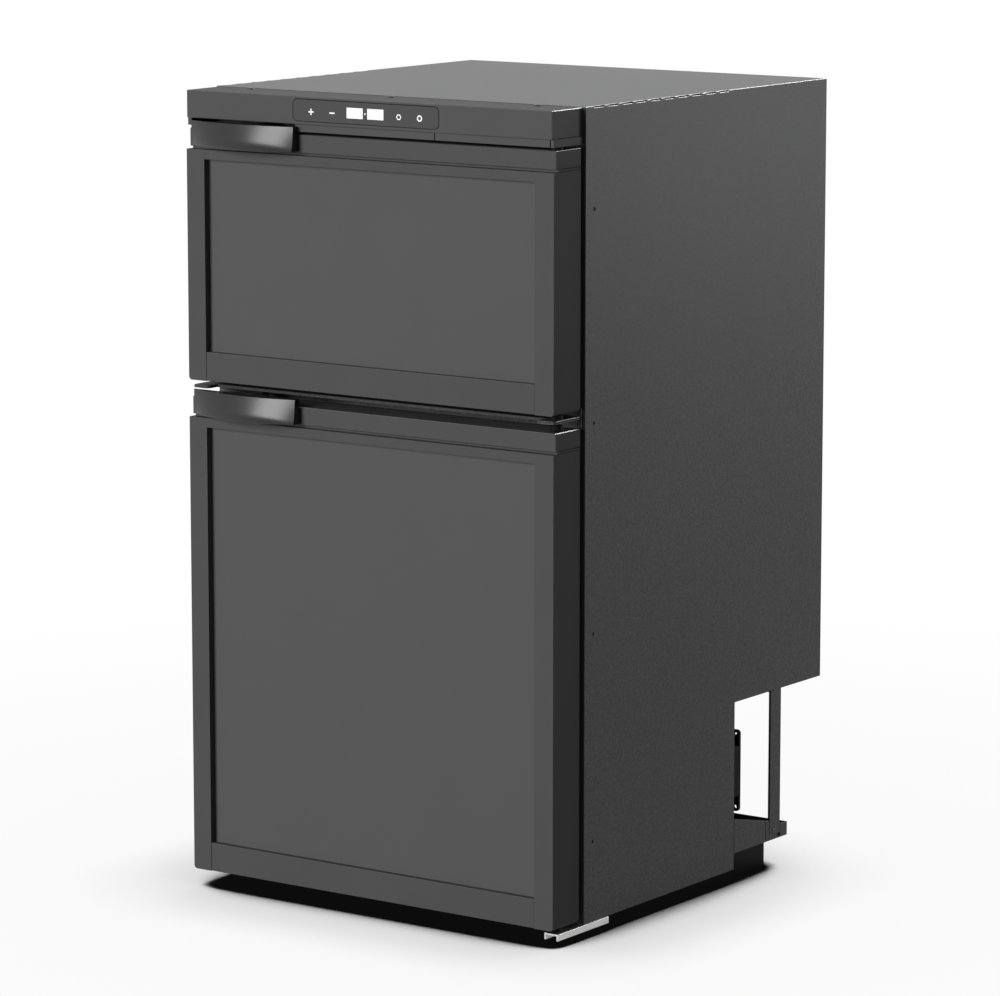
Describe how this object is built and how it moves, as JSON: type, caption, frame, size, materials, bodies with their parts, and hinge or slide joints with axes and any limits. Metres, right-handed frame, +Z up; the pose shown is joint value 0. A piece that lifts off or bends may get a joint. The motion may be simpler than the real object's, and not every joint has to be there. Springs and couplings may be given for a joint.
{
  "type": "two-door compressor fridge freezer",
  "caption": "Slim built-in compressor fridge freezer for a camper or boat: small freezer door over a tall fridge door, bowed latch handles, touch panel on top and an open machine bay at the back.",
  "frame": {"origin": "on the floor, in the middle of the plan of the whole fridge freezer", "axes": "+Z up, +X to the right seen from the front, +Y towards the back, doors facing -Y"},
  "size_m": [0.4771, 0.5442, 0.8617],
  "materials": {
    "side_steel": "satin",
    "top_steel": "satin",
    "black_steel": "satin",
    "grey_steel": "satin",
    "bright_steel": "polished",
    "cold_plate": "satin",
    "rack_wire": "gloss",
    "copper": "satin",
    "dark_plastic": "satin",
    "door_plastic": "satin",
    "decor_panel": "satin",
    "black_plastic": "satin",
    "touch_face": "gloss",
    "symbol_white": "gloss",
    "board": "satin",
    "white_plastic": "satin",
    "trim_plastic": "satin",
    "bush_plastic": "satin",
    "clear_plastic": "gloss",
    "shelf_glass": "gloss",
    "lamp_lens": "gloss",
    "rubber": "matte",
    "foam": "matte"
  },
  "bodies": {
    "cabinet": {"right_side_panel": "side_steel", "left_side_panel": "side_steel", "top_panel": "top_steel", "back_panel": "top_steel", "bay_panel": "side_steel", "bottom_pan": "side_steel", "front_frame": "dark_plastic", "foam_insulation": "foam", "freezer_liner": "white_plastic", "fridge_liner": "white_plastic", "skid_rails": "black_steel", "control_fascia": "dark_plastic", "fascia_trim": "dark_plastic", "touch_panel": "touch_face", "display_symbols": "symbol_white", "control_board": "board", "hinge_brackets": "bright_steel", "middle_hinge_bar": "grey_steel", "hinge_pins": "bright_steel", "latch_strikes": "bright_steel", "freezer_evaporator": "cold_plate", "freezer_rack": "rack_wire", "fridge_evaporator": "cold_plate", "glass_shelves": "shelf_glass", "shelf_trims": "trim_plastic", "crisper_runners": "white_plastic", "cabin_lamp": "lamp_lens", "compressor_tray": "side_steel", "frame_posts": "side_steel", "compressor": "black_steel", "compressor_mounts": "rubber", "power_controller": "black_plastic", "condenser": "cold_plate", "fan_frame": "black_plastic", "fan_guard": "bright_steel", "filter_drier": "copper", "refrigerant_pipes": "copper", "panel_screws": "bright_steel"},
    "fan": {"fan_rotor": "black_plastic"},
    "drawer": {"crisper_drawer": "clear_plastic"},
    "freezer_door": {"freezer_door_frame": "door_plastic", "freezer_door_cap": "door_plastic", "freezer_door_panel": "decor_panel", "freezer_door_strip": "door_plastic", "freezer_door_foam": "foam", "freezer_door_liner": "white_plastic", "freezer_door_gasket": "rubber", "freezer_door_bushes": "bush_plastic"},
    "freezer_grip": {"freezer_handle": "black_plastic"},
    "fridge_door": {"fridge_door_frame": "door_plastic", "fridge_door_cap": "door_plastic", "fridge_door_panel": "decor_panel", "fridge_door_strip": "door_plastic", "fridge_door_foam": "foam", "fridge_door_liner": "white_plastic", "fridge_door_gasket": "rubber", "fridge_door_bushes": "bush_plastic", "fridge_door_bins": "clear_plastic"},
    "fridge_grip": {"fridge_handle": "black_plastic"}
  },
  "joints": [
    {"name": "freezer_door_hinge", "type": "hinge", "parent": "cabinet", "child": "freezer_door", "pos_m": [0.228, -0.2295, 0.687], "axis": [0, 0, 1], "range_deg": [0, 120]},
    {"name": "fridge_door_hinge", "type": "hinge", "parent": "cabinet", "child": "fridge_door", "pos_m": [0.228, -0.2295, 0.277], "axis": [0, 0, 1], "range_deg": [0, 120]},
    {"name": "freezer_handle_pivot", "type": "hinge", "parent": "freezer_door", "child": "freezer_grip", "pos_m": [-0.15, -0.2485, 0.8215], "axis": [-1, 0, 0], "range_deg": [0, 14], "stiffness_Nm_per_rad": 0.15},
    {"name": "fridge_handle_pivot", "type": "hinge", "parent": "fridge_door", "child": "fridge_grip", "pos_m": [-0.15, -0.2485, 0.5362], "axis": [-1, 0, 0], "range_deg": [0, 14], "stiffness_Nm_per_rad": 0.15},
    {"name": "crisper_slide", "type": "slide", "parent": "cabinet", "child": "drawer", "axis": [0, -1, 0], "range_m": [0, 0.126]},
    {"name": "fan_spin", "type": "hinge", "parent": "cabinet", "child": "fan", "pos_m": [0.133, 0.1885, 0.099], "axis": [0, 1, 0], "continuous": true}
  ],
  "couplings": [
    {"joint": "crisper_slide", "follows": "fridge_door_hinge", "m_per_rad": 0.06}
  ]
}
